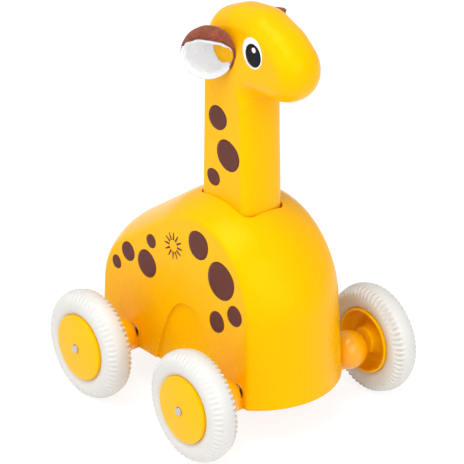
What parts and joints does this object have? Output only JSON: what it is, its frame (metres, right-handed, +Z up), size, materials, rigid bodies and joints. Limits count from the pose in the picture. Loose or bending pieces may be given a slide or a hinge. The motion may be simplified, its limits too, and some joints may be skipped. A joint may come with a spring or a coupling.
{
  "type": "press and go toy",
  "caption": "Giraffe push toy on four wheels: pressing the neck down drives a rack and gear train, a spring lifts it again, and both axles roll freely.",
  "frame": {"origin": "middle of the bounding box's bottom face, on the ground under the toy", "axes": "+X forwards (the way the toy looks and rolls), +Y to the toy's left, +Z up; rest pose has the neck up"},
  "size_m": [0.122, 0.11, 0.1726],
  "materials": {
    "yellow_paint": "gloss paint",
    "brown_felt": "matt felt",
    "white_felt": "matt felt",
    "mustard_plastic": "gloss",
    "orange_plastic": "satin",
    "white_plastic": "satin",
    "hub_plastic": "gloss",
    "white_rubber": "satin",
    "steel": "satin"
  },
  "bodies": {
    "toy_body": {"body_shell": "yellow_paint", "chassis": "mustard_plastic", "chassis_screws": "steel", "gearbox_plate_right": "white_plastic", "gearbox_plate_left": "white_plastic", "gearbox_screws": "steel", "gear_pins": "steel", "return_spring": "steel"},
    "neck": {"neck_and_head": "yellow_paint", "ear_felt_right": "brown_felt", "ear_felt_left": "brown_felt", "ear_lining_right": "white_felt", "ear_lining_left": "white_felt", "plunger": "orange_plastic", "neck_screws": "steel"},
    "first_gear_body": {"first_gear": "white_plastic"},
    "second_gear_body": {"second_gear": "white_plastic"},
    "axle_gear_body": {"axle_gear": "white_plastic"},
    "rear_wheels": {"rear_axle": "steel", "pawl_hub": "orange_plastic", "hub_rear_right": "hub_plastic", "hub_rear_left": "hub_plastic", "tyre_rear_right": "white_rubber", "tyre_rear_left": "white_rubber"},
    "front_wheels": {"front_axle": "steel", "hub_front_right": "hub_plastic", "hub_front_left": "hub_plastic", "tyre_front_right": "white_rubber", "tyre_front_left": "white_rubber"}
  },
  "joints": [
    {"name": "neck_press", "type": "slide", "parent": "toy_body", "child": "neck", "axis": [0, 0, -1], "range_m": [0, 0.022], "stiffness_N_per_m": 400, "springref_m": -0.005, "deforming": ["return_spring"]},
    {"name": "first_gear_turn", "type": "hinge", "parent": "toy_body", "child": "first_gear_body", "pos_m": [-0.014, 0, 0.0456], "axis": [0, 1, 0], "range_deg": [-2, 213]},
    {"name": "second_gear_turn", "type": "hinge", "parent": "toy_body", "child": "second_gear_body", "pos_m": [-0.02627, 0, 0.03732], "axis": [0, 1, 0], "range_deg": [-442, 4]},
    {"name": "axle_gear_turn", "type": "hinge", "parent": "toy_body", "child": "axle_gear_body", "pos_m": [-0.03, 0, 0.023], "axis": [0, 1, 0], "range_deg": [-8, 920]},
    {"name": "rear_roll", "type": "hinge", "parent": "toy_body", "child": "rear_wheels", "pos_m": [-0.03, 0, 0.023], "axis": [0, 1, 0], "continuous": true},
    {"name": "front_roll", "type": "hinge", "parent": "toy_body", "child": "front_wheels", "pos_m": [0.038, 0, 0.023], "axis": [0, 1, 0], "continuous": true}
  ],
  "couplings": [
    {"joint": "first_gear_turn", "follows": "neck_press", "rad_per_m": 166.67},
    {"joint": "second_gear_turn", "follows": "neck_press", "rad_per_m": -347.22},
    {"joint": "axle_gear_turn", "follows": "neck_press", "rad_per_m": 723.38}
  ]
}
